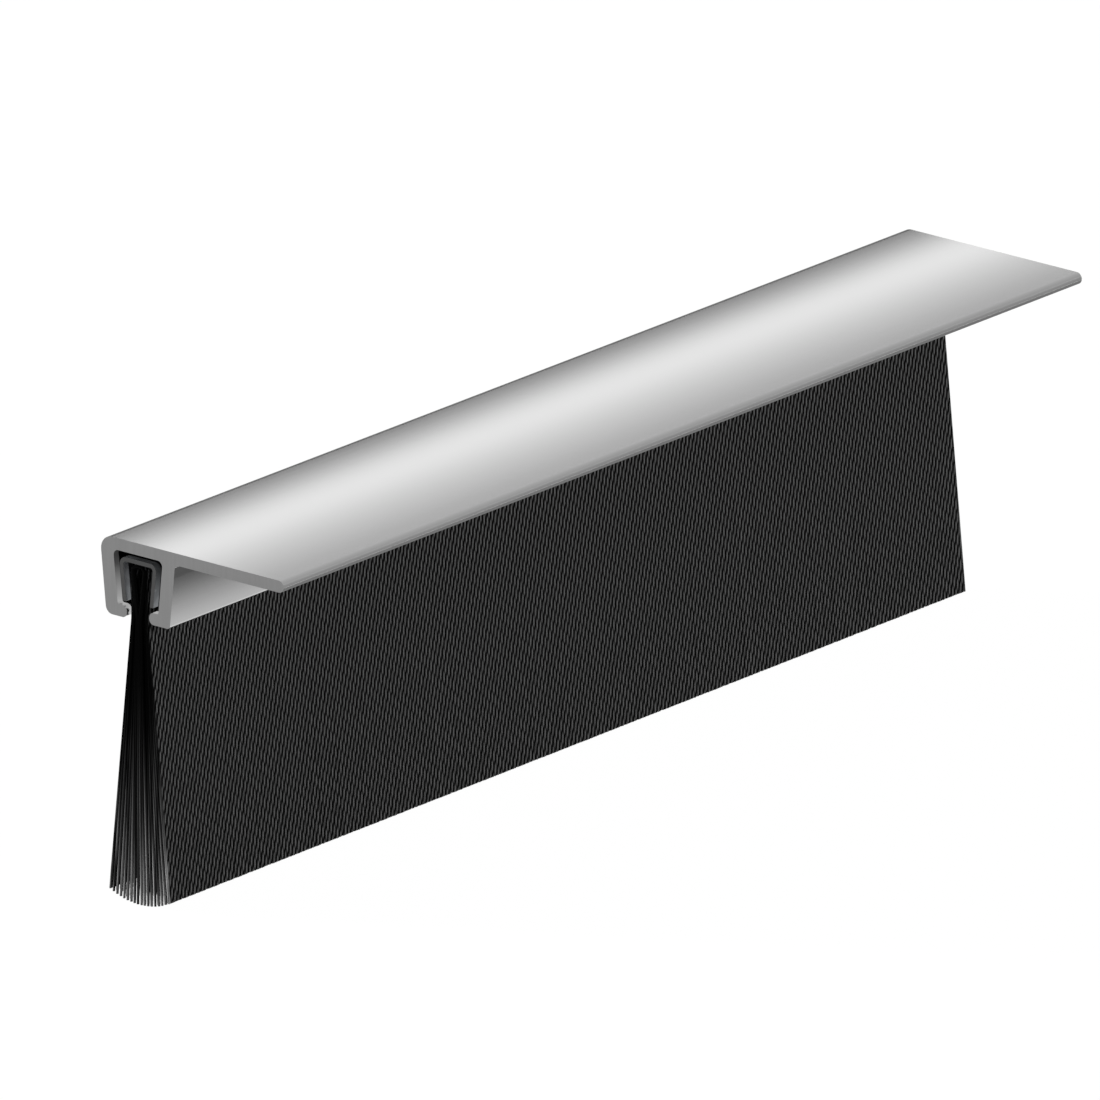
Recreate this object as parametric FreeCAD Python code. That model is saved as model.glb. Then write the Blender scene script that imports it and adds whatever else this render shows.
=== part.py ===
import FreeCAD, Part
import math
import os

# A brush seal for the bottom edge of a door, cut to a short length. Sizes are in millimetres.
# X runs along the strip, from its middle. The flange reaches towards -Y from the brush's centre plane.
# Z = 0 is the flat face that goes against the door, and the bristles point down.

LENGTH = 130.0

# Strip brush: a folded steel back and the bristles that hang from it
BACK_WIDTH = 5.0
BACK_HEIGHT = 4.75
BACK_SHEET = 0.45
BACK_BEND_RADIUS = 0.35
BACK_EDGE_RADIUS = 0.1
WIRE_DIAMETER = 0.6
WIRE_INSET = 1.5
BRISTLE_BED = 0.36
BRISTLE_LENGTH = 36.85
TIP_WIDTH = 8.14
TIP_CROWN = 1.0
RIDGE_PITCH = 0.62
RIDGE_DEPTH = 0.2
END_COLUMNS = 17
END_GROOVE_DEPTH = 0.3
END_GROOVE_START = 0.35

# Room for the strip brush in the holder
PLAY_ABOVE = 0.56
PLAY_BELOW = 0.5
PLAY_SIDE = 0.74
MOUTH_CLEARANCE = 0.3
WIRE_FIT = 0.03
FOLD_PROUD = 0.02

# Holder: one extrusion with a flat flange and a dovetail channel
FLANGE_REACH = 19.4
FLANGE_THICKNESS = 1.3
DOVETAIL_LEAN = 5.75
LEG_THICKNESS = 1.65
LIP_THICKNESS = 1.3
LIP_NOSE_RADIUS = 0.6
OUTER_CORNER_RADIUS = 1.5
HEEL_RADIUS = 0.9
FLANGE_HEEL_RADIUS = 0.4
FILLET_RADIUS = 0.6
LIP_ROOT_RADIUS = 0.25

# Levels, worked down from the door face
LEAN = math.tan(math.radians(DOVETAIL_LEAN))
CEILING = -FLANGE_THICKNESS
BACK_TOP = CEILING - PLAY_ABOVE
WEB_UNDERSIDE = BACK_TOP - BACK_SHEET
BACK_BOTTOM = BACK_TOP - BACK_HEIGHT
LIP_TOP = BACK_BOTTOM - PLAY_BELOW
LIP_UNDERSIDE = LIP_TOP - LIP_THICKNESS

# The bristles: folded over the wire under the web, then fanned out straight to the tips
NECK_HALF = WIRE_DIAMETER / 2 + BRISTLE_BED
FOLD_RADIUS = NECK_HALF + FOLD_PROUD
WIRE_LEVEL = WEB_UNDERSIDE - FOLD_RADIUS
TIP_LEVEL = WEB_UNDERSIDE - BRISTLE_LENGTH
TIP_CORNER_LEVEL = TIP_LEVEL + TIP_CROWN
FAN = (TIP_WIDTH / 2 - NECK_HALF) / (WIRE_LEVEL - TIP_CORNER_LEVEL)

# Half widths of the channel, worked out from the brush that it holds
INNER_HALF_AT_BACK_TOP = BACK_WIDTH / 2 + PLAY_SIDE
MOUTH_HALF = NECK_HALF + (WIRE_LEVEL - LIP_UNDERSIDE) * FAN + MOUTH_CLEARANCE

# How far cutting shapes run past what they cut
OVERRUN = 1.0


def channel_inner_half(z):
    """Half width between the legs' inner faces at height z."""
    return INNER_HALF_AT_BACK_TOP + (z - BACK_TOP) * LEAN


def channel_outer_half(z):
    """Half width across the legs' outer faces at height z."""
    return channel_inner_half(z) + LEG_THICKNESS


def back_outer_half(z):
    """Half width across the outside of the brush back at height z."""
    return BACK_WIDTH / 2 + (z - BACK_TOP) * LEAN


def fan_half(z):
    """Half width of the bristles at height z."""
    return NECK_HALF + (WIRE_LEVEL - z) * FAN


def rounded_face(corners, x):
    """Flat face across the strip at x, from corners (y, z, radius) in order round the outline."""
    points = [FreeCAD.Vector(x, y, z) for y, z, radius in corners]
    arcs = []
    for i, (y, z, radius) in enumerate(corners):
        corner = points[i]
        to_last = (points[i - 1] - corner).normalize()
        to_next = (points[(i + 1) % len(points)] - corner).normalize()
        half_angle = to_last.getAngle(to_next) / 2
        reach = radius / math.tan(half_angle)
        bisector = (to_last + to_next).normalize()
        nearest = radius / math.sin(half_angle) - radius
        arcs.append((corner + to_last * reach, corner + bisector * nearest, corner + to_next * reach))
    edges = []
    for i, (start, middle, end) in enumerate(arcs):
        edges.append(Part.Arc(start, middle, end).toShape())
        following = arcs[(i + 1) % len(arcs)][0]
        if end.distanceToPoint(following) > 1e-6:
            edges.append(Part.LineSegment(end, following).toShape())
    return Part.Face(Part.Wire(edges))


def along_strip(corners):
    """Solid with one section for the whole length of the strip."""
    return rounded_face(corners, -LENGTH / 2).extrude(FreeCAD.Vector(LENGTH, 0, 0))


def holder_profile():
    """The extrusion: flange and ceiling in one flat web, two leaning legs, and a lip on each leg."""
    flange_edge = (-FLANGE_REACH, FLANGE_THICKNESS / 2)
    brush_side = [
        (channel_outer_half(LIP_UNDERSIDE), LIP_UNDERSIDE, HEEL_RADIUS),
        (MOUTH_HALF, LIP_UNDERSIDE, LIP_NOSE_RADIUS),
        (MOUTH_HALF, LIP_TOP, LIP_NOSE_RADIUS),
        (channel_inner_half(LIP_TOP), LIP_TOP, LIP_ROOT_RADIUS),
        (channel_inner_half(CEILING), CEILING, FILLET_RADIUS),
    ]
    flange_side = [(-y, z, radius) for y, z, radius in reversed(brush_side)]
    heel_y, heel_z, heel_radius = flange_side[-1]
    flange_side[-1] = (heel_y, heel_z, FLANGE_HEEL_RADIUS)
    outline = [
        (flange_edge[0], 0.0, flange_edge[1]),
        (channel_outer_half(0.0), 0.0, OUTER_CORNER_RADIUS),
        *brush_side,
        *flange_side,
        (-channel_outer_half(CEILING), CEILING, FILLET_RADIUS),
        (flange_edge[0], CEILING, flange_edge[1]),
    ]
    return along_strip(outline)


def brush_back():
    """Strip of steel folded to a U, with its walls leaning in as the channel's legs do."""
    level_sheet = BACK_SHEET / math.cos(math.radians(DOVETAIL_LEAN))
    right = [
        (back_outer_half(BACK_TOP), BACK_TOP, BACK_BEND_RADIUS + BACK_SHEET),
        (back_outer_half(BACK_BOTTOM), BACK_BOTTOM, BACK_EDGE_RADIUS),
        (back_outer_half(BACK_BOTTOM) - level_sheet, BACK_BOTTOM, BACK_EDGE_RADIUS),
        (back_outer_half(WEB_UNDERSIDE) - level_sheet, WEB_UNDERSIDE, BACK_BEND_RADIUS),
    ]
    left = [(-y, z, radius) for y, z, radius in reversed(right)]
    return along_strip(right + left)


def wire(radius, inset):
    """Round bar on the wire's line, ending short of both ends of the strip."""
    start = FreeCAD.Vector(-LENGTH / 2 + inset, 0, WIRE_LEVEL)
    return Part.makeCylinder(radius, LENGTH - 2 * inset, start, FreeCAD.Vector(1, 0, 0))


def core_wire():
    """Steel wire that the bristles are folded over."""
    return wire(WIRE_DIAMETER / 2, WIRE_INSET)


def ridged_side():
    """Block with one face ridged along the bristles, slanting outwards as the fan does."""
    ridges = round(LENGTH / RIDGE_PITCH)
    half_pitch = LENGTH / ridges / 2
    far_y = -(TIP_WIDTH + OVERRUN)
    corners = [FreeCAD.Vector(-LENGTH / 2, far_y, WIRE_LEVEL)]
    for i in range(2 * ridges + 1):
        depth = 0.0 if i % 2 else RIDGE_DEPTH
        corners.append(FreeCAD.Vector(-LENGTH / 2 + i * half_pitch, NECK_HALF - depth, WIRE_LEVEL))
    corners.append(FreeCAD.Vector(LENGTH / 2, far_y, WIRE_LEVEL))
    corners.append(corners[0])
    drop = WIRE_LEVEL - TIP_LEVEL + OVERRUN
    return Part.Face(Part.makePolygon(corners)).extrude(FreeCAD.Vector(0, drop * FAN, -drop))


def trimmed_tips():
    """Everything above the crowned line that the tips are trimmed to."""
    half_chord = TIP_WIDTH / 2
    crown_radius = (half_chord ** 2 + TIP_CROWN ** 2) / (2 * TIP_CROWN)
    wide = half_chord + OVERRUN
    wide_level = TIP_LEVEL + crown_radius - math.sqrt(crown_radius ** 2 - wide ** 2)
    x = -LENGTH / 2 - OVERRUN
    left_low = FreeCAD.Vector(x, -wide, wide_level)
    middle_low = FreeCAD.Vector(x, 0, TIP_LEVEL)
    right_low = FreeCAD.Vector(x, wide, wide_level)
    right_high = FreeCAD.Vector(x, wide, WIRE_LEVEL + OVERRUN)
    left_high = FreeCAD.Vector(x, -wide, WIRE_LEVEL + OVERRUN)
    crown = Part.Arc(left_low, middle_low, right_low).toShape()
    sides = Part.makePolygon([right_low, right_high, left_high, left_low])
    section = Part.Face(Part.Wire([crown, *sides.Edges]))
    return section.extrude(FreeCAD.Vector(LENGTH + 2 * OVERRUN, 0, 0))


def end_groove(end, share):
    """Sliver between two columns of bristles at one end (+1 or -1), from a point down past the tips."""
    outside = end * (LENGTH / 2 + END_GROOVE_DEPTH / 10)
    inside = end * (LENGTH / 2 - END_GROOVE_DEPTH)
    start = WIRE_LEVEL + END_GROOVE_START * (TIP_LEVEL - WIRE_LEVEL)
    bottom = TIP_LEVEL - OVERRUN
    column = 2 * fan_half(bottom) / END_COLUMNS
    y = share * fan_half(bottom)
    point = FreeCAD.Vector(outside, share * fan_half(start), start)
    near = FreeCAD.Vector(outside, y - column / 2, bottom)
    far = FreeCAD.Vector(outside, y + column / 2, bottom)
    deep = FreeCAD.Vector(inside, y, bottom)
    triangles = [(near, far, deep), (point, near, far), (point, far, deep), (point, deep, near)]
    faces = [Part.Face(Part.makePolygon([a, b, c, a])) for a, b, c in triangles]
    groove = Part.makeSolid(Part.makeShell(faces))
    if groove.Volume < 0:
        groove.reverse()
    return groove


def end_grooves():
    """The slivers between the columns of bristles, at both ends."""
    shares = [2 * i / END_COLUMNS - 1 for i in range(1, END_COLUMNS)]
    return [end_groove(end, share) for end in (-1, 1) for share in shares]


def fold():
    """Bristles where they turn over the wire: half round, up against the web."""
    left = FreeCAD.Vector(-LENGTH / 2, -FOLD_RADIUS, WIRE_LEVEL)
    top = FreeCAD.Vector(-LENGTH / 2, 0, WEB_UNDERSIDE)
    right = FreeCAD.Vector(-LENGTH / 2, FOLD_RADIUS, WIRE_LEVEL)
    arc = Part.Arc(left, top, right).toShape()
    base = Part.LineSegment(right, left).toShape()
    return Part.Face(Part.Wire([arc, base])).extrude(FreeCAD.Vector(LENGTH, 0, 0))


def bristle_pack():
    """All the bristles as one solid, ridged along both sides and at both ends."""
    one_side = ridged_side()
    other_side = one_side.mirror(FreeCAD.Vector(0, 0, 0), FreeCAD.Vector(0, 1, 0))
    fan = one_side.common(other_side).common(trimmed_tips())
    fan = fan.cut(end_grooves())
    pack = fan.fuse(fold())
    return pack.cut(wire(WIRE_DIAMETER / 2 + WIRE_FIT, WIRE_INSET - WIRE_FIT))


def save(name, shape):
    """One solid to one file, with its size and volume printed."""
    solid = shape.removeSplitter().Solids[0]
    box = solid.BoundBox
    size = f"{box.XLength:.2f} x {box.YLength:.2f} x {box.ZLength:.2f} mm"
    print(name, size, f"{solid.Volume:.1f} mm3", "valid" if solid.isValid() else "NOT VALID", len(solid.Faces))
    solid.exportStep(f"parts/{name}.step")


os.makedirs("parts", exist_ok=True)
save("holder_profile", holder_profile())
save("brush_back", brush_back())
save("core_wire", core_wire())
save("bristle_pack", bristle_pack())
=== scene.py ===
# %% [markdown]
# # A brush seal for the bottom of a door
#
# The seal is a short length of aluminium extrusion with a strip brush slid into its channel. This
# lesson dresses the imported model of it. The holder and the folded back keep the shapes they were
# built with, so they only need a finish. The bristles are one plain solid there, and are modelled
# here one by one, because separate filaments are what makes a brush look like a brush.

import math

import bpy
import numpy as np
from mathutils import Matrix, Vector


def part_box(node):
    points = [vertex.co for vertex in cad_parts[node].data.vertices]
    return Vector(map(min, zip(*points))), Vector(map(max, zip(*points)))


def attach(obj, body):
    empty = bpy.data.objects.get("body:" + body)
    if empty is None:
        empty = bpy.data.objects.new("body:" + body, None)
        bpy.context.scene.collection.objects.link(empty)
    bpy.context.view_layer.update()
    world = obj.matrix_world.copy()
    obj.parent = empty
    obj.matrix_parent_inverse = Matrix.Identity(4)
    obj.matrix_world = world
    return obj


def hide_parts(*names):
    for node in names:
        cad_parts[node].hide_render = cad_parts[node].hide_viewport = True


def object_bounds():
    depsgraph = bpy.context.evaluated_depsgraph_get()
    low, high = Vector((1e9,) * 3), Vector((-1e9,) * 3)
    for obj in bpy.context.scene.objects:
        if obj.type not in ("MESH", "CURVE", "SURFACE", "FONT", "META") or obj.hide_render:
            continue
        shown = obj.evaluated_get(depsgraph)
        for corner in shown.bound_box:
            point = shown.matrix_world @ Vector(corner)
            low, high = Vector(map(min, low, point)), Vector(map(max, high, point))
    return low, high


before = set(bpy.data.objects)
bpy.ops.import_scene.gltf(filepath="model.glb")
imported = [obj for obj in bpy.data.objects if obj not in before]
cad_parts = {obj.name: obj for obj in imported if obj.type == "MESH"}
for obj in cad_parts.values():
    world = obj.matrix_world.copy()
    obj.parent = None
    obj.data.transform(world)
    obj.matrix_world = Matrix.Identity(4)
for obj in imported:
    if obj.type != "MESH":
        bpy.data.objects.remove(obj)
cad_low, cad_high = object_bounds()
print("CAD box in mm:", [round(v * 1000, 2) for v in (cad_high - cad_low)])

# %% [markdown]
# ## Sizes
#
# Blender works in metres and a maker thinks in millimetres, so one value turns the one into the
# other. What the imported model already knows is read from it: the length, the level of the tips and
# the widest point of the fan. Only what the model can't say is written here.

# %% Sizes of the strip and its bristles
MM = 0.001

pack_low, pack_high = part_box("bristle_pack")
wire_low, wire_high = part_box("core_wire")
holder_low, holder_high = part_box("holder_profile")
LENGTH = pack_high.x - pack_low.x
TIP_LEVEL = pack_low.z
TIP_HALF = pack_high.y
WIRE_LEVEL = (wire_low.z + wire_high.z) / 2
WIRE_RADIUS = (wire_high.z - wire_low.z) / 2
NECK_HALF = 0.66 * MM
TIP_CROWN = 1.0 * MM
print(f"bristles {LENGTH / MM:.1f} mm long, {2 * TIP_HALF / MM:.2f} mm wide at the tips")
print(f"wire at {WIRE_LEVEL / MM:.2f} mm, tips at {TIP_LEVEL / MM:.2f} mm")

# %% [markdown]
# ## The camera
#
# The photograph has no vanishing point: lines along the strip stay parallel. Such a view could be
# made with an orthographic camera, but a very long lens from far away looks the same, and it can
# still be moved round the object like any other camera. The lens looks down a little at the sawn
# end, with the strip running away to the right. One corner of that end fixes the framing.

# %% Camera from a known corner
FRAME_PX = 1100
PX_PER_MM = 9.671
CORNER_PX = (101.0, 533.6)
CORNER = Vector((-LENGTH / 2, holder_high.y, 0.0))
AZIMUTH = math.radians(-50.56)
ELEVATION = math.radians(18.63)
LENS_MM = 1600.0

backwards = Vector((
    math.sin(AZIMUTH) * math.cos(ELEVATION),
    -math.cos(AZIMUTH) * math.cos(ELEVATION),
    math.sin(ELEVATION),
))
turn = (-backwards).to_track_quat("-Z", "Y")
rightwards = turn @ Vector((1, 0, 0))
upwards = turn @ Vector((0, 1, 0))

camera_data = bpy.data.cameras.new("camera")
camera_data.lens = LENS_MM
camera_data.clip_start = 0.1
camera_data.clip_end = 20.0
camera = bpy.data.objects.new("camera", camera_data)
bpy.context.scene.collection.objects.link(camera)
bpy.context.scene.camera = camera

px = MM / PX_PER_MM
distance = FRAME_PX * px * LENS_MM / camera_data.sensor_width
middle = (cad_low + cad_high) / 2
corner_nearer = (CORNER - middle).dot(backwards)
shrink = (distance - corner_nearer) / distance
to_right = (FRAME_PX / 2 - CORNER_PX[0]) * px * shrink
to_below = (FRAME_PX / 2 - CORNER_PX[1]) * px * shrink
aim = CORNER + rightwards * to_right - upwards * to_below - backwards * corner_nearer
camera.rotation_mode = "QUATERNION"
camera.rotation_quaternion = turn
camera.location = aim + backwards * distance
bpy.context.scene.view_settings.view_transform = "Standard"
print(f"camera {distance:.2f} m away, aimed at {[round(v / MM, 1) for v in aim]} mm")

# %% [markdown]
# ## One helper for materials
#
# Every finish here is made of nodes. One small function adds a node, sets it and links it, so that
# a material reads as a list of what it holds. Colours are chosen as hex values, as in a paint
# program, and another function turns them to the linear values that the shader works in.

# %% Node and colour helpers
def add_node(tree, kind, properties=None, values=None, links=None):
    """Add one node, set its properties and its inputs, and link its inputs to other outputs."""
    node = tree.nodes.new(kind)
    for name, value in (properties or {}).items():
        setattr(node, name, value)
    for name, value in (values or {}).items():
        node.inputs[name].default_value = value
    for name, output in (links or {}).items():
        tree.links.new(output, node.inputs[name])
    return node


def linear(hex_colour):
    """Turn an sRGB hex colour into the linear colour that a shader takes."""
    levels = [int(hex_colour[i:i + 2], 16) / 255 for i in (0, 2, 4)]
    return tuple(v / 12.92 if v <= 0.04045 else ((v + 0.055) / 1.055) ** 2.4 for v in levels) + (1.0,)


def new_material(name):
    """Start a material, and give back its tree, its output and its object coordinates."""
    material = bpy.data.materials.new(name)
    material.use_nodes = True
    tree = material.node_tree
    tree.nodes.clear()
    output = add_node(tree, "ShaderNodeOutputMaterial")
    place = add_node(tree, "ShaderNodeTexCoord")
    return material, tree, output, place


print("pale metal in linear light:", [round(v, 3) for v in linear("C2C2C2")])

# %% [markdown]
# ## The stage
#
# The seal is shown on a white ground, just touching it with its tips, as it would a door sill.
# The floor is plain white, and what the camera and the reflections see of it is mostly its own
# white, so that it comes out even and keeps only a trace of the seal's shadow. The light comes from
# the white room round it and from two soft lamps. The one in front lights the brush's side so
# squarely that its filaments throw no shadows on one another. The one behind lights the sawn end.

# %% Floor
def only_seen(tree):
    """Give 1 for rays that come from the camera or a gloss or glass surface, and 0 for the rest."""
    rays = add_node(tree, "ShaderNodeLightPath")
    camera_or_gloss = add_node(tree, "ShaderNodeMath", {"operation": "MAXIMUM"}, links={
        0: rays.outputs["Is Camera Ray"], 1: rays.outputs["Is Glossy Ray"]})
    or_glass = add_node(tree, "ShaderNodeMath", {"operation": "MAXIMUM"}, links={
        0: camera_or_gloss.outputs[0], 1: rays.outputs["Is Transmission Ray"]})
    return or_glass.outputs[0]


FLOOR_SIZE = 3.0
FLOOR_PAPER = linear("9A9A9A")
FLOOR_OWN_WHITE = 0.9
FLOOR_GLOW = 1.10
WHITE = (1, 1, 1, 1)

bpy.ops.object.select_all(action="DESELECT")
bpy.ops.mesh.primitive_plane_add(size=FLOOR_SIZE, location=(0, 0, TIP_LEVEL))
floor = bpy.context.object
floor.name = "floor"
material, tree, output, place = new_material("white_floor")
paper = add_node(tree, "ShaderNodeBsdfDiffuse", values={"Color": FLOOR_PAPER})
white = add_node(tree, "ShaderNodeEmission", values={"Color": WHITE, "Strength": FLOOR_GLOW})
share = add_node(tree, "ShaderNodeMath", {"operation": "MULTIPLY"}, {1: FLOOR_OWN_WHITE}, {
    0: only_seen(tree)})
mix = add_node(tree, "ShaderNodeMixShader", links={
    0: share.outputs[0], 1: paper.outputs[0], 2: white.outputs[0]})
tree.links.new(mix.outputs[0], output.inputs["Surface"])
floor.data.materials.append(material)
print("floor at", round(floor.location.z / MM, 2), "mm")

# %% White room
ROOM_LIGHT = 0.12
ROOM_SEEN = 1.0

world = bpy.data.worlds.new("white_room")
bpy.context.scene.world = world
world.use_nodes = True
tree = world.node_tree
tree.nodes.clear()
output = add_node(tree, "ShaderNodeOutputWorld")
fill = add_node(tree, "ShaderNodeBackground", values={"Color": WHITE, "Strength": ROOM_LIGHT})
shown = add_node(tree, "ShaderNodeBackground", values={"Color": WHITE, "Strength": ROOM_SEEN})
mix = add_node(tree, "ShaderNodeMixShader", links={
    0: only_seen(tree), 1: fill.outputs[0], 2: shown.outputs[0]})
tree.links.new(mix.outputs[0], output.inputs["Surface"])
print("room light", ROOM_LIGHT)

# %% Lamps
def add_lamp(name, place, across, watts):
    """Add a round soft lamp that faces the seal. It shows neither to the camera nor in the metal."""
    data = bpy.data.lights.new(name, "AREA")
    data.shape = "DISK"
    data.size = across
    data.energy = watts
    lamp = bpy.data.objects.new(name, data)
    bpy.context.scene.collection.objects.link(lamp)
    lamp.location = place
    lamp.rotation_mode = "QUATERNION"
    lamp.rotation_quaternion = (-Vector(place)).to_track_quat("-Z", "Y")
    lamp.visible_camera = False
    lamp.visible_glossy = False


add_lamp("key_lamp", place=(0.10, -0.85, 0.28), across=0.25, watts=4.6)
add_lamp("back_lamp", place=(-0.42, 0.72, 0.20), across=0.15, watts=8.0)

# %% [markdown]
# ## Cards for the metal
#
# Flat metal shows whatever stands in its mirror direction, and in an all-white room it looks like
# paper. A product photographer therefore stands strips of card close to it, out of the picture.
# Only reflections see the cards here: they throw no light or shadow. The one behind the seal is
# brightest part of the way up, and rolls a soft band of light over the flange. Two more stand over
# the flange's rounded edge and in front of it, and draw that edge. Two stand under the flange and
# before the leg, so that the leg darkens towards the flange above it. The last stands in the
# channel, just behind the saw cut, and shades the walls there from dark at the top to pale below.
# A card could carry a painted picture, but a ramp of a few tones does the same and is easy to tune.

# %% Card helper
def add_card(name, low, high, stops):
    """Stand a card between two corners in mm. Its stops are pairs of a height, or a place along Y
    on a level card, and the tone there."""
    bpy.ops.object.select_all(action="DESELECT")
    bpy.ops.mesh.primitive_plane_add(size=1.0, location=(0, 0, 0))
    card = bpy.context.object
    card.name = name
    corner = Vector(low) * MM
    run = Vector(high) * MM - corner
    width = Vector((run.x, 0, 0)) if run.x else Vector((0, run.y, 0))
    for vertex in card.data.vertices:
        vertex.co = corner + width * (vertex.co.x > 0) + (run - width) * (vertex.co.y > 0)
    material, tree, output, place = new_material(name)
    axis = "Z" if run.z else "Y"
    start = low[2] if axis == "Z" else low[1]
    end = high[2] if axis == "Z" else high[1]
    split = add_node(tree, "ShaderNodeSeparateXYZ", links={0: place.outputs["Object"]})
    level = add_node(tree, "ShaderNodeMapRange", values={
        "From Min": start * MM, "From Max": end * MM}, links={"Value": split.outputs[axis]})
    ramp = add_node(tree, "ShaderNodeValToRGB", links={0: level.outputs[0]})
    ramp.color_ramp.interpolation = "LINEAR"
    for index, (where, tone) in enumerate(stops):
        share = (where - start) / (end - start)
        stop = ramp.color_ramp.elements[index] if index < 2 else ramp.color_ramp.elements.new(share)
        stop.position = share
        stop.color = (tone, tone, tone, 1)
    glow = add_node(tree, "ShaderNodeEmission", links={"Color": ramp.outputs[0]})
    tree.links.new(glow.outputs[0], output.inputs["Surface"])
    card.data.materials.append(material)
    card.visible_camera = False
    card.visible_diffuse = False
    card.visible_transmission = False
    card.visible_volume_scatter = False
    card.visible_shadow = False
    print(name, "with", len(stops), "tones along", axis)


# %% Cards round the holder
add_card("card_behind", (-66, 18, -14), (360, 18, 44), [
    (-14, 0.28), (2, 0.28), (5.5, 0.10), (7.5, 0.27), (9, 0.54), (12, 1.85), (13.5, 1.48),
    (15.5, 0.90), (17.5, 0.88), (19.5, 0.58), (22, 0.34), (44, 0.34)])
add_card("card_over_edge", (-66, -30, 5), (180, -12, 5), [
    (-30, 0.48), (-22, 0.58), (-17.5, 0.66), (-13, 0.74), (-12, 0.95)])
add_card("card_before_edge", (-66, -32, -10), (220, -32, 5), [(-10, 0.38), (5, 0.48)])
add_card("card_under_flange", (-66, -22, -3), (220, -5, -3), [
    (-22, 0.30), (-16, 0.25), (-9, 0.16), (-5, 0.14)])
add_card("card_before_leg", (-66, -12, -18), (180, -12, -3), [
    (-18, 1.0), (-14.8, 0.88), (-11.5, 0.48), (-8.9, 0.15), (-3, 0.10)])
add_card("card_in_channel", (-64.2, -3.2, -8.4), (-64.2, 3.2, -1.3), [
    (-8.4, 1.0), (-6.5, 0.60), (-3, 0.10), (-1.3, 0.04)])

# %% [markdown]
# ## Anodised aluminium
#
# The holder is pressed hot through a die, then etched and anodised in its natural colour. That
# gives a pale satin metal with very faint straight lines along its length. The ends are sawn after
# anodising, so they are bare, a shade darker, and marked by the blade's teeth. Two materials could
# share the mesh's faces out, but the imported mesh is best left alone, so one material does both: it
# looks at which way the surface faces, and uses the sawn finish where that is along X. Real die
# lines are less than 0.1 mm apart, and are drawn coarser so that they can show.

# %% Extruded and sawn aluminium
DIE_LINE_MM = 0.35
DIE_RUN_MM = 80.0
SAW_MARK_MM = 0.3
SAW_RUN_MM = 6.0
SAW_SLANT = 0.5
SAW_DEPTH = 0.02 * MM
END_FACING = 0.9


def per_metre(millimetres):
    """Scale of a pattern that repeats about once in that many millimetres."""
    return 1 / (millimetres * MM)


def on_cut_end(tree, place):
    """Give 1 on faces that look along the strip, and 0 on the rest."""
    facing = add_node(tree, "ShaderNodeSeparateXYZ", links={0: place.outputs["Normal"]})
    along = add_node(tree, "ShaderNodeMath", {"operation": "ABSOLUTE"}, links={0: facing.outputs["X"]})
    squarely = add_node(tree, "ShaderNodeMath", {"operation": "GREATER_THAN"}, {1: END_FACING}, {
        0: along.outputs[0]})
    return squarely.outputs[0]


material, tree, output, place = new_material("satin_anodised_aluminium")
sawn = on_cut_end(tree, place)

die_scale = (per_metre(DIE_RUN_MM), per_metre(DIE_LINE_MM), per_metre(DIE_LINE_MM))
die_place = add_node(tree, "ShaderNodeMapping", values={"Scale": die_scale}, links={
    "Vector": place.outputs["Object"]})
die_lines = add_node(tree, "ShaderNodeTexNoise", values={"Scale": 1.0, "Detail": 2.0}, links={
    "Vector": die_place.outputs[0]})
saw_scale = (per_metre(SAW_MARK_MM), per_metre(SAW_MARK_MM), per_metre(SAW_RUN_MM))
saw_place = add_node(tree, "ShaderNodeMapping", values={
    "Scale": saw_scale, "Rotation": (SAW_SLANT, 0, 0)}, links={"Vector": place.outputs["Object"]})
saw_marks = add_node(tree, "ShaderNodeTexNoise", values={"Scale": 1.0, "Detail": 2.0}, links={
    "Vector": saw_place.outputs[0]})
teeth = add_node(tree, "ShaderNodeMath", {"operation": "MULTIPLY"}, links={
    0: sawn, 1: saw_marks.outputs[0]})

skin = add_node(tree, "ShaderNodeMix", {"data_type": "RGBA"}, {6: linear("C2C2C2"), 7: linear("C6C6C6")}, {
    0: die_lines.outputs[0]})
bare = add_node(tree, "ShaderNodeMix", {"data_type": "RGBA"}, {6: linear("818181"), 7: linear("8D8D8D")}, {
    0: saw_marks.outputs[0]})
colour = add_node(tree, "ShaderNodeMix", {"data_type": "RGBA"}, links={
    0: sawn, 6: skin.outputs[2], 7: bare.outputs[2]})
satin = add_node(tree, "ShaderNodeMapRange", values={"To Min": 0.165, "To Max": 0.185}, links={
    "Value": die_lines.outputs[0]})
dull = add_node(tree, "ShaderNodeMapRange", values={"To Min": 0.40, "To Max": 0.50}, links={
    "Value": saw_marks.outputs[0]})
roughness = add_node(tree, "ShaderNodeMix", {"data_type": "FLOAT"}, links={
    0: sawn, 2: satin.outputs[0], 3: dull.outputs[0]})
bump = add_node(tree, "ShaderNodeBump", values={"Strength": 0.05, "Distance": SAW_DEPTH}, links={
    "Height": teeth.outputs[0]})
metal = add_node(tree, "ShaderNodeBsdfPrincipled", values={"Metallic": 1.0}, links={
    "Base Color": colour.outputs[2], "Roughness": roughness.outputs[0], "Normal": bump.outputs[0]})
tree.links.new(metal.outputs[0], output.inputs["Surface"])
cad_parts["holder_profile"].material_slots[0].material = material
print("holder finish:", material.name, "with", len(tree.nodes), "nodes")

# %% [markdown]
# ## Galvanised steel
#
# The brush's back is folded from thin zinc-coated strip. On such strip zinc freezes in flat
# crystals a millimetre or two across, which show as soft patches of slightly different grey, and its
# surface is duller than the aluminium's. A Voronoi pattern gives each crystal a grey of its own,
# with no picture needed. The strip is sheared to length, and that edge is bare, dark steel.

# %% Zinc-coated strip
SPANGLE_MM = 1.6

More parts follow.
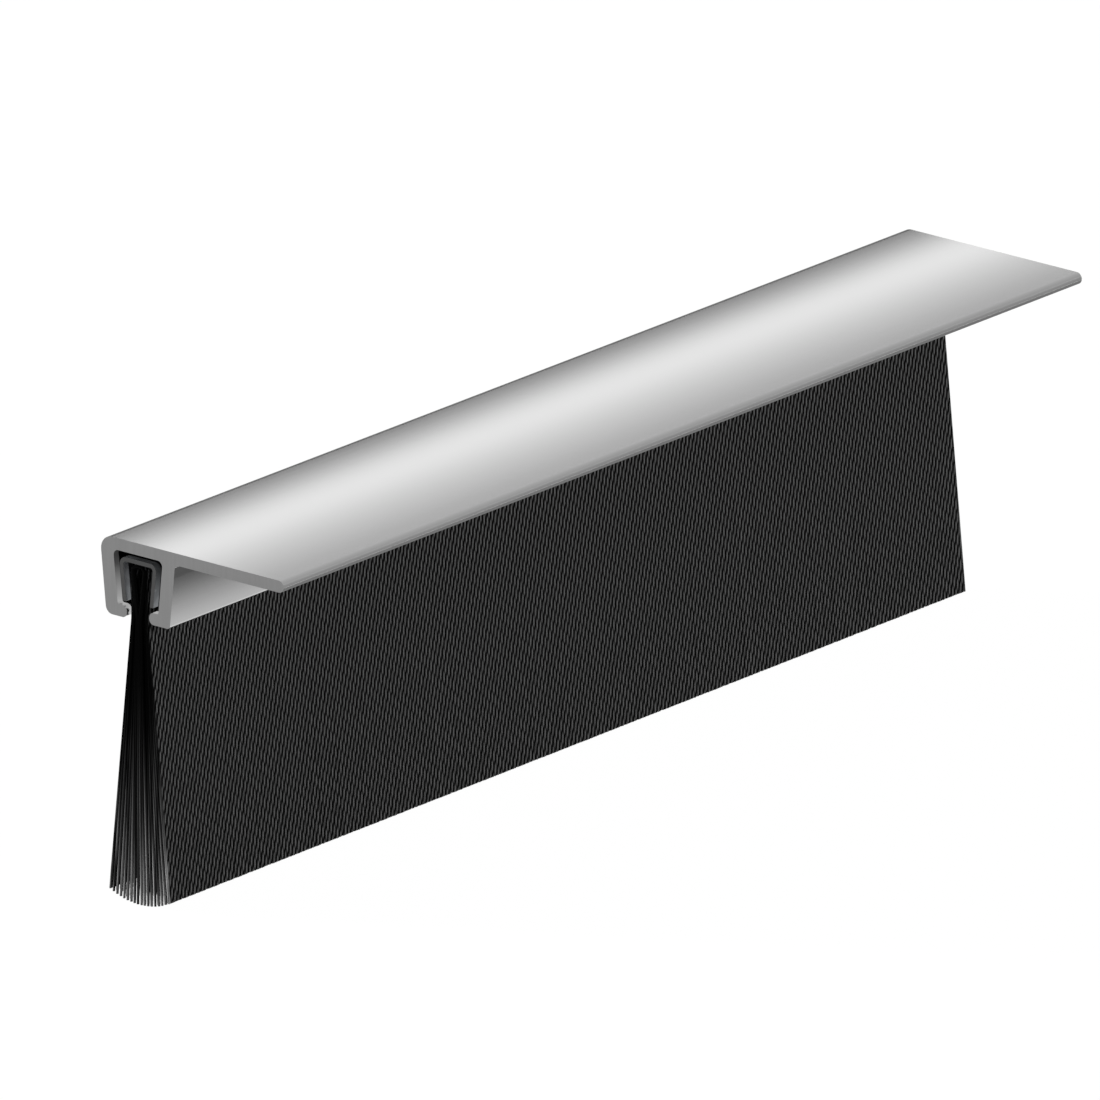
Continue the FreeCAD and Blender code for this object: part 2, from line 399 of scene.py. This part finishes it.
material, tree, output, place = new_material("galvanised_steel_strip")
spangle = add_node(tree, "ShaderNodeTexVoronoi", values={"Scale": per_metre(SPANGLE_MM)}, links={
    "Vector": place.outputs["Object"]})
patches = add_node(tree, "ShaderNodeSeparateColor", links={0: spangle.outputs["Color"]})
zinc = add_node(tree, "ShaderNodeMix", {"data_type": "RGBA"}, {6: linear("8A8D90"), 7: linear("A2A5A8")}, {
    0: patches.outputs[0]})
colour = add_node(tree, "ShaderNodeMix", {"data_type": "RGBA"}, {7: linear("4E4E4E")}, {
    0: on_cut_end(tree, place), 6: zinc.outputs[2]})
roughness = add_node(tree, "ShaderNodeMapRange", values={"To Min": 0.36, "To Max": 0.5}, links={
    "Value": patches.outputs[1]})
steel = add_node(tree, "ShaderNodeBsdfPrincipled", values={"Metallic": 1.0}, links={
    "Base Color": colour.outputs[2], "Roughness": roughness.outputs[0]})
tree.links.new(steel.outputs[0], output.inputs["Surface"])
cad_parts["brush_back"].material_slots[0].material = material
print("back finish:", material.name)

# %% [markdown]
# ## Drawn wire
#
# The wire is hidden by the bristles that turn over it. It still gets a finish of its own, because
# it shows when the brush is taken apart: bright steel with fine lines along it from the die. They
# are drawn 0.08 mm apart, which is coarser than real ones.

# %% Drawn steel wire
DRAW_LINE_MM = 0.08

material, tree, output, place = new_material("drawn_steel_wire")
draw_scale = (per_metre(DIE_RUN_MM), per_metre(DRAW_LINE_MM), per_metre(DRAW_LINE_MM))
draw_place = add_node(tree, "ShaderNodeMapping", values={"Scale": draw_scale}, links={
    "Vector": place.outputs["Object"]})
draw_lines = add_node(tree, "ShaderNodeTexNoise", values={"Scale": 1.0}, links={
    "Vector": draw_place.outputs[0]})
roughness = add_node(tree, "ShaderNodeMapRange", values={"To Min": 0.25, "To Max": 0.4}, links={
    "Value": draw_lines.outputs[0]})
steel = add_node(tree, "ShaderNodeBsdfPrincipled", values={
    "Metallic": 1.0, "Base Color": linear("A9A8A6")}, links={"Roughness": roughness.outputs[0]})
tree.links.new(steel.outputs[0], output.inputs["Surface"])
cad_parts["core_wire"].material_slots[0].material = material
print("wire finish:", material.name)

# %% [markdown]
# ## Black nylon
#
# Brush filament is solid nylon, dyed black through. It is only about 0.2 mm thick, too fine to show
# at this size. What the eye gets from thousands of filaments, each a little crimped, is a
# pattern of short slanting dashes of light, where the crimps catch it. That light is painted into
# the colour here, as painted highlights: two waves of grey through the brush, a strong one and a
# weak one that slants the other way. They repeat every 0.64 and 0.44 mm along the strip, which is
# coarser than real filaments, so that they show.

# %% Painted highlight dashes on the brush's sides
STRONG_WAVE = (1.569, -2.120, -0.402)
WEAK_WAVE = (2.264, -2.539, 0.402)
WAVE_MIDDLE = 0.4
STRONG_SHARE = 0.72
WEAK_SHARE = 0.47
GLINT_POWER = 1.6


def add_wave(tree, place, turns_per_mm):
    """A plain wave through space, from -1 to 1, with so many turns per millimetre on each axis."""
    step = tuple(2 * math.pi * turns / MM for turns in turns_per_mm)
    phase = add_node(tree, "ShaderNodeVectorMath", {"operation": "DOT_PRODUCT"}, {1: step}, {
        0: place.outputs["Object"]})
    wave = add_node(tree, "ShaderNodeMath", {"operation": "SINE"}, links={0: phase.outputs["Value"]})
    return wave.outputs[0]


nylon, tree, output, place = new_material("black_nylon_filament")
strong = add_node(tree, "ShaderNodeMath", {"operation": "MULTIPLY_ADD"}, {
    1: STRONG_SHARE, 2: WAVE_MIDDLE}, {0: add_wave(tree, place, STRONG_WAVE)})
both = add_node(tree, "ShaderNodeMath", {"operation": "MULTIPLY_ADD", "use_clamp": True}, {
    1: WEAK_SHARE}, {0: add_wave(tree, place, WEAK_WAVE), 2: strong.outputs[0]})
# Painted highlights: the crests of the two waves turn the black nylon grey, as crimps catching the light
# would.
painted_glints = add_node(tree, "ShaderNodeMath", {"operation": "POWER"}, {1: GLINT_POWER}, {0: both.outputs[0]})
side = add_node(tree, "ShaderNodeMix", {"data_type": "RGBA"}, {6: linear("040404"), 7: linear("6C6C6C")}, {
    0: painted_glints.outputs[0]})
print("dashes repeat every", [round(1 / wave[0], 2) for wave in (STRONG_WAVE, WEAK_WAVE)], "mm")

# %% [markdown]
# Inside the brush it is dark, and that shade is painted: there the colour turns near black, so only
# the two outer columns of filaments on each side carry the painted dashes. Which columns those are
# is told by how far out a point is, as a share of the fan's half width at its height.

# %% Painted shade inside the brush
PAINTED_SHADE_BLACK = linear("020202")
SHELL_SHARE = 0.82
DEEP_SHARE = 0.72

split = add_node(tree, "ShaderNodeSeparateXYZ", links={0: place.outputs["Object"]})
half_width = add_node(tree, "ShaderNodeMapRange", values={
    "From Min": TIP_LEVEL + TIP_CROWN, "From Max": WIRE_LEVEL,
    "To Min": TIP_HALF, "To Max": NECK_HALF}, links={"Value": split.outputs["Z"]})
off_middle = add_node(tree, "ShaderNodeMath", {"operation": "ABSOLUTE"}, links={0: split.outputs["Y"]})
outward = add_node(tree, "ShaderNodeMath", {"operation": "DIVIDE"}, links={
    0: off_middle.outputs[0], 1: half_width.outputs[0]})
# Painted shade: away from the two outer columns the colour turns near black.
painted_shade_inside = add_node(tree, "ShaderNodeMapRange", values={
    "From Min": SHELL_SHARE, "From Max": DEEP_SHARE}, links={"Value": outward.outputs[0]})
along_run = add_node(tree, "ShaderNodeMix", {"data_type": "RGBA"}, {7: PAINTED_SHADE_BLACK}, {
    0: painted_shade_inside.outputs[0], 6: side.outputs[2]})
print(f"at the tips it is dark {(1 - DEEP_SHARE) * TIP_HALF / MM:.1f} mm in from each side")

# %% [markdown]
# The first row of filaments at each end of the strip looks different again. They stand close
# together and black under the holder, and open towards the tips, where light gets in and catches
# them one by one. That light and shade is painted into their colour: painted shade near black at
# the top, painted light that grows paler downwards, and a stretched noise that gives each filament
# its own strength of painted light.

# %% Painted light and shade on the filaments at the ends
END_REACH = 0.35 * MM
END_FULL = 0.2 * MM
LET_IN_POWER = 4.0
STREAK_MM = 0.45
STREAK_RUN_MM = 25.0
NOISE_LOW = 0.35
NOISE_HIGH = 0.65
FAINTEST = 0.15
STRONGEST = 1.55

from_middle = add_node(tree, "ShaderNodeMath", {"operation": "ABSOLUTE"}, links={0: split.outputs["X"]})
at_end = add_node(tree, "ShaderNodeMapRange", values={
    "From Min": LENGTH / 2 - END_REACH, "From Max": LENGTH / 2 - END_FULL}, links={
    "Value": from_middle.outputs[0]})
openness = add_node(tree, "ShaderNodeMapRange", values={
    "From Min": holder_low.z, "From Max": TIP_LEVEL}, links={"Value": split.outputs["Z"]})
let_in = add_node(tree, "ShaderNodeMath", {"operation": "POWER"}, {1: LET_IN_POWER}, {
    0: openness.outputs[0]})
streak_scale = (per_metre(STREAK_MM), per_metre(STREAK_MM), per_metre(STREAK_RUN_MM))
streak_place = add_node(tree, "ShaderNodeMapping", values={"Scale": streak_scale}, links={
    "Vector": place.outputs["Object"]})
streaks = add_node(tree, "ShaderNodeTexNoise", values={"Scale": 1.0, "Detail": 1.0}, links={
    "Vector": streak_place.outputs[0]})
painted_light_strength = add_node(tree, "ShaderNodeMapRange", values={
    "From Min": NOISE_LOW, "From Max": NOISE_HIGH, "To Min": FAINTEST, "To Max": STRONGEST}, links={
    "Value": streaks.outputs[0]})
# Painted light and shade: black under the holder, paler towards the tips, with a noise strength per
# filament.
painted_light = add_node(tree, "ShaderNodeMath", {"operation": "MULTIPLY", "use_clamp": True}, links={
    0: let_in.outputs[0], 1: painted_light_strength.outputs[0]})
end = add_node(tree, "ShaderNodeMix", {"data_type": "RGBA"}, {6: PAINTED_SHADE_BLACK, 7: linear("A8A8A8")}, {
    0: painted_light.outputs[0]})
print(f"ends lit from {(holder_low.z - TIP_LEVEL) / MM:.1f} mm above the tips downwards")

# %% [markdown]
# Last come the parts that make the finish. Nylon filament can have a soft sheen, but the
# photograph shows none on this brush, so the nylon gets next to no gloss.

# %% Nylon's finish
colour = add_node(tree, "ShaderNodeMix", {"data_type": "RGBA"}, links={
    0: at_end.outputs[0], 6: along_run.outputs[2], 7: end.outputs[2]})
roughness = add_node(tree, "ShaderNodeMapRange", values={"To Min": 0.45, "To Max": 0.6}, links={
    "Value": streaks.outputs[0]})
filament = add_node(tree, "ShaderNodeBsdfPrincipled", values={"Specular IOR Level": 0.015}, links={
    "Base Color": colour.outputs[2], "Roughness": roughness.outputs[0]})
tree.links.new(filament.outputs[0], output.inputs["Surface"])
print("bristle finish:", nylon.name, "with", len(tree.nodes), "nodes")

# %% [markdown]
# ## Where each bristle runs
#
# A strip brush is made by laying filaments across a wire, folding them over it and pressing the
# back round them. So one filament makes two bristles, and goes up on one side, over the wire and
# down on the other. Each filament is planned by its distance from the middle at three levels: at
# the wire, at the pinch between the holder's lips, and at the tip. From the pinch down the bristles
# spread evenly to the tips, which are trimmed to a shallow crown. Nine filaments, one inside the
# other, make eighteen columns of bristles. They are drawn thicker than real ones, and fewer, so
# that single bristles show and the mesh stays small.

# %% Places along a filament
FILAMENT_RADIUS = 0.15 * MM
PAIRS = 9
PINCH_LEVEL = holder_low.z
PINCH_BELOW_WIRE = WIRE_LEVEL - PINCH_LEVEL
CROWN_RADIUS = (TIP_HALF ** 2 + TIP_CROWN ** 2) / (2 * TIP_CROWN)

fan = (TIP_HALF - NECK_HALF) / (WIRE_LEVEL - TIP_LEVEL - TIP_CROWN)
pinch_half = NECK_HALF + fan * PINCH_BELOW_WIRE - FILAMENT_RADIUS
tip_half = TIP_HALF - FILAMENT_RADIUS
column_pitch = 2 * tip_half / (2 * PAIRS - 1)


def places_of(pair):
    """Distance from the middle at the wire, the pinch and the tip, and the tip's level."""
    share = (2 * pair + 1) / (2 * PAIRS - 1)
    inner, outer = WIRE_RADIUS + FILAMENT_RADIUS, NECK_HALF - FILAMENT_RADIUS
    at_wire = inner + (outer - inner) * pair / (PAIRS - 1)
    at_tip = share * tip_half
    crown = CROWN_RADIUS - math.sqrt(CROWN_RADIUS ** 2 - at_tip ** 2)
    return at_wire, share * pinch_half, at_tip, TIP_LEVEL + crown


print(f"{2 * PAIRS} columns, {column_pitch / MM:.2f} mm apart at the tips")

# %% [markdown]
# ## One filament
#
# Hair strands would be quick to set up, but they are no mesh, and the model has to be exported as
# one. So the filament starts as a five-sided disc where its one tip is. It is extruded up to the
# pinch and to the wire's level, spun half a turn about the wire, and extruded down again on the
# other side, as one would bend it by hand. Its cut ends stay flat, because the brush is trimmed
# with shears.

# %% Model a filament
SIDES = 5
TURN_STEPS = 3


def add_filament(pair, x_tip, x_neck):
    """Model one filament, with both tips at x_tip and its turn over the wire at x_neck."""
    at_wire, at_pinch, at_tip, level = places_of(pair)
    lean = x_neck - x_tip
    bpy.ops.object.select_all(action="DESELECT")
    bpy.ops.mesh.primitive_circle_add(
        vertices=SIDES, radius=FILAMENT_RADIUS, fill_type="NGON", location=(x_tip, at_tip, level))
    filament = bpy.context.object
    bpy.ops.object.transform_apply(location=True, rotation=False, scale=False)
    bpy.context.tool_settings.mesh_select_mode = (False, False, True)
    up = [(lean, at_pinch - at_tip, PINCH_LEVEL - level), (0, at_wire - at_pinch, PINCH_BELOW_WIRE)]
    down = [(0, at_wire - at_pinch, -PINCH_BELOW_WIRE), (-lean, at_pinch - at_tip, level - PINCH_LEVEL)]
    bpy.ops.object.mode_set(mode="EDIT")
    for move in up:
        bpy.ops.mesh.extrude_region_move(TRANSFORM_OT_translate={"value": move})
    bpy.ops.mesh.spin(steps=TURN_STEPS, angle=math.pi, center=(0, 0, WIRE_LEVEL), axis=(-1, 0, 0))
    for move in down:
        bpy.ops.mesh.extrude_region_move(TRANSFORM_OT_translate={"value": move})
    bpy.ops.mesh.select_all(action="SELECT")
    bpy.ops.mesh.normals_make_consistent(inside=False)
    bpy.ops.object.mode_set(mode="OBJECT")
    return filament


sample = add_filament(0, 0.0, 0.0)
POINTS = len(sample.data.vertices)
print("one filament has", POINTS, "points and", len(sample.data.polygons), "faces")
bpy.data.objects.remove(sample)

# %% [markdown]
# ## Rows of bristles
#
# Each of the nine filaments is repeated along the strip with an Array modifier. The step between
# rows is set so that rows and columns look equally far apart in the photograph's view, and light
# comes through between the tips at the end there, as it does in the photograph. The outermost
# filament gets a second set of rows half-way between the first, which closes the brush's sides. At
# the wire there is no room for nine filaments in line, so they sit in groups of three, and each
# group is set a third of a step along the strip from the next.
#
# Real bristles are never quite in line. Away from the ends each inner column is shifted by its own
# amount, which closes the pack to the eye. Steps of the golden ratio spread those shifts evenly.
# Each filament also gets a small lean and a small error of length, which come from a seeded
# generator, so every run is the same. Above the pinch the bundle swells, as it does in the back.

# %% Spacing of the rows and their small errors
GROUP_OF = 3
GROUP_STEPS = (-1 / 3, 1 / 3, 0.0)
REGULAR_END = 3.5 * MM
REGULAR_FADE = 3.5 * MM
SWELL = 1.75
LEAN_ALONG = 0.018 * MM
LEAN_ACROSS = 0.02 * MM
TRIM_ERROR = 0.02 * MM
GOLDEN = 0.618
SEED = 7

sight = CORNER - camera.location
row_pitch = column_pitch * sight.x / sight.y
first = -LENGTH / 2 + FILAMENT_RADIUS
rows = round(-2 * first / row_pitch) + 1
row_pitch = -2 * first / (rows - 1)
neck_squeeze = 1 + row_pitch * max(GROUP_STEPS) / first
chance = np.random.default_rng(SEED)
print(rows, "rows,", round(row_pitch / MM, 3), "mm apart")


# %% Loosen the copies of one filament
def loosen(filament, pair, count):
    """Move the points of all copies of one filament a little, more so towards the tips."""
    points = np.empty(count * POINTS * 3)
    filament.data.vertices.foreach_get("co", points)
    points = points.reshape(count, POINTS, 3)
    down = np.clip((PINCH_LEVEL - points[:, :, 2]) / (PINCH_LEVEL - TIP_LEVEL), 0, 1)
    inside = np.clip((points[:, :, 2] - PINCH_LEVEL) / PINCH_BELOW_WIRE, 0, 1)
    points[:, :, 1] *= 1 + (SWELL - 1) * inside
    points[:, :, 0] *= neck_squeeze + (1 - neck_squeeze) * down
    left = points[:, :, 1] > 0
    column = np.where(left, PAIRS + pair, PAIRS - 1 - pair)
    shift = ((column * GOLDEN) % 1 - 0.5) * row_pitch if pair < PAIRS - 1 else 0.0
    from_end = LENGTH / 2 - np.abs(points[:, :, 0])
    free = np.clip((from_end - REGULAR_END) / REGULAR_FADE, 0, 1)
    points[:, :, 0] += shift * free
    for axis, spread in ((0, LEAN_ALONG), (1, LEAN_ACROSS)):
        leans = chance.normal(0, spread, (count, 1, 2))
        points[:, :, axis] += np.where(left, leans[:, :, 0], leans[:, :, 1]) * down
    trims = np.abs(chance.normal(0, TRIM_ERROR, (count, 1, 2)))
    points[:, :, 2] += np.where(left, trims[:, :, 0], trims[:, :, 1]) * down
    points[:, :, 0] = np.clip(points[:, :, 0], -LENGTH / 2, LENGTH / 2)
    points[:, :, 1] = np.clip(points[:, :, 1], -TIP_HALF, TIP_HALF)
    filament.data.vertices.foreach_set("co", points.ravel())
    filament.data.update()
    print(f"pair {pair}: {count} rows")


# %% Build the rows
def add_rows(pair, start, neck, count):
    """Repeat one filament along the strip, and loosen the copies."""
    filament = add_filament(pair, start, start + neck)
    array = filament.modifiers.new("along_the_strip", "ARRAY")
    array.use_relative_offset = False
    array.use_constant_offset = True
    array.constant_offset_displace = (row_pitch, 0, 0)
    array.count = count
    bpy.ops.object.modifier_apply(modifier=array.name)
    loosen(filament, pair, count)
    return filament


necks = [GROUP_STEPS[pair // GROUP_OF] * row_pitch for pair in range(PAIRS)]
pairs = [add_rows(pair, first, necks[pair], rows) for pair in range(PAIRS)]
pairs.append(add_rows(PAIRS - 1, first + row_pitch / 2, necks[-1], rows - 1))
print(len(pairs), "sets of rows")

# %% Join the bristles
SMOOTH_BELOW = math.radians(80)

bpy.ops.object.select_all(action="DESELECT")
for filament in pairs:
    filament.select_set(True)
bpy.context.view_layer.objects.active = pairs[0]
bpy.ops.object.join()
bristles = bpy.context.object
bristles.name = "bristles"
bristles.data.materials.append(nylon)
bpy.ops.object.shade_smooth_by_angle(angle=SMOOTH_BELOW)
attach(bristles, "brush")
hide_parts("bristle_pack")
bristles.data.calc_loop_triangles()
bristle_count = len(bristles.data.vertices) // POINTS * 2
print(bristle_count, "bristles in", len(bristles.data.loop_triangles), "triangles")
